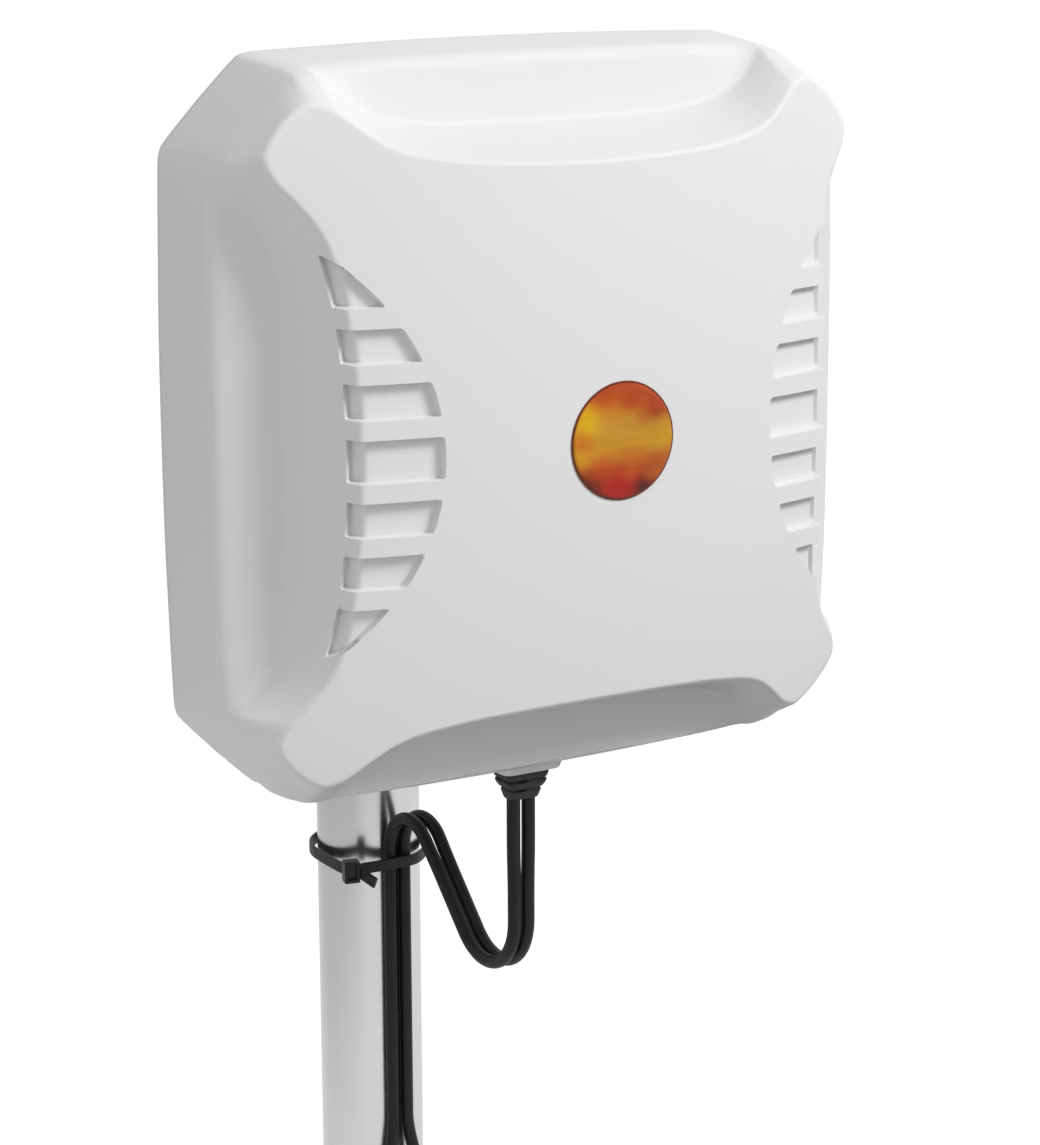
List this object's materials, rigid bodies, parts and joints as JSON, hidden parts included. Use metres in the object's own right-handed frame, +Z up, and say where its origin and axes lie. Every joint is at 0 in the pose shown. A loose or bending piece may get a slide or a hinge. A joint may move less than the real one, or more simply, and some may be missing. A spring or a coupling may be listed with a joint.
{
  "type": "panel antenna",
  "caption": "Square radome panel antenna with scooped sides and vent pockets, on a tilting bracket clamped to a mast, with twin coaxial leads tied to the mast.",
  "frame": {"origin": "centre of the flat underside of the mast's foot plug, on the mast's axis", "axes": "+Z up the mast, the antenna faces -Y, +X to the right as seen from the front camera side looking along +Y"},
  "size_m": [0.2542, 0.2297, 0.5071],
  "materials": {
    "housing": "satin moulded ASA, cool light grey",
    "cover": "matte moulded ASA, light grey",
    "seal_rubber": "matte black",
    "boot_rubber": "satin black",
    "cable_jacket": "satin black jacket",
    "tie_nylon": "satin black nylon",
    "badge": "glossy clear dome over a marbled amber print",
    "mast_tube": "satin drawn steel",
    "galvanised": "zinc plated sheet steel",
    "stainless": "stainless",
    "aluminium_sheet": "bare sheet",
    "board": "glass epoxy laminate with copper",
    "connector_brass": "plated brass",
    "plug": "black polyethylene",
    "spacer": "natural acetal"
  },
  "bodies": {
    "mast": {"mast_tube": "mast_tube", "mast_foot_plug": "plug", "mast_top_cap": "plug", "cable_tie": "tie_nylon", "coax_run_a": "cable_jacket", "coax_run_b": "cable_jacket", "connector_body_a": "connector_brass", "connector_body_b": "connector_brass", "centre_pin_a": "connector_brass", "centre_pin_b": "connector_brass"},
    "clamp": {"mast_yoke": "galvanised", "rear_jaw": "galvanised", "clamp_bolt_1": "stainless", "clamp_bolt_2": "stainless", "clamp_washer_1": "stainless", "clamp_washer_2": "stainless", "clamp_nut_1": "stainless", "clamp_nut_2": "stainless", "pivot_bolt": "stainless", "pivot_nut": "stainless", "pivot_washer_1": "stainless", "pivot_washer_2": "stainless", "coax_loop_a": "cable_jacket", "coax_loop_b": "cable_jacket"},
    "head": {"radome": "housing", "rear_cover": "cover", "rim_gasket": "seal_rubber", "cover_screw_1": "stainless", "cover_screw_2": "stainless", "cover_screw_3": "stainless", "cover_screw_4": "stainless", "cover_screw_5": "stainless", "cover_screw_6": "stainless", "cover_screw_7": "stainless", "cover_screw_8": "stainless", "reflector_screw_1": "stainless", "reflector_screw_2": "stainless", "reflector_screw_3": "stainless", "reflector_screw_4": "stainless", "badge": "badge", "reflector_plate": "aluminium_sheet", "dipole_board_a": "board", "dipole_board_b": "board", "director_spacer": "spacer", "director_plate": "aluminium_sheet", "lead_outlet": "housing", "cable_boot": "boot_rubber", "head_bracket": "galvanised", "bracket_screw_1": "stainless", "bracket_screw_2": "stainless", "bracket_screw_3": "stainless", "bracket_screw_4": "stainless", "tilt_lock_bolt": "stainless", "tilt_lock_nut": "stainless", "tilt_lock_washer_1": "stainless", "tilt_lock_washer_2": "stainless", "coax_drop_a": "cable_jacket", "coax_drop_b": "cable_jacket"},
    "nut_a": {"coupling_nut_a": "connector_brass"},
    "nut_b": {"coupling_nut_b": "connector_brass"}
  },
  "joints": [
    {"name": "azimuth_swivel", "type": "hinge", "parent": "mast", "child": "clamp", "pos_m": [0, 0, 0.38], "axis": [0, 0, 1], "range_deg": [-30, 30], "deforming": ["coax_loop_a", "coax_loop_b"]},
    {"name": "tilt", "type": "hinge", "parent": "clamp", "child": "head", "pos_m": [0, -0.062, 0.394], "axis": [1, 0, 0], "range_deg": [-15, 15], "deforming": ["coax_drop_a", "coax_drop_b"]},
    {"name": "coupling_nut_a_spin", "type": "hinge", "parent": "mast", "child": "nut_a", "pos_m": [-0.0075, -0.02598, 0.02], "axis": [0, 0, 1], "continuous": true},
    {"name": "coupling_nut_b_spin", "type": "hinge", "parent": "mast", "child": "nut_b", "pos_m": [0.0075, -0.02598, 0.02], "axis": [0, 0, 1], "continuous": true}
  ]
}
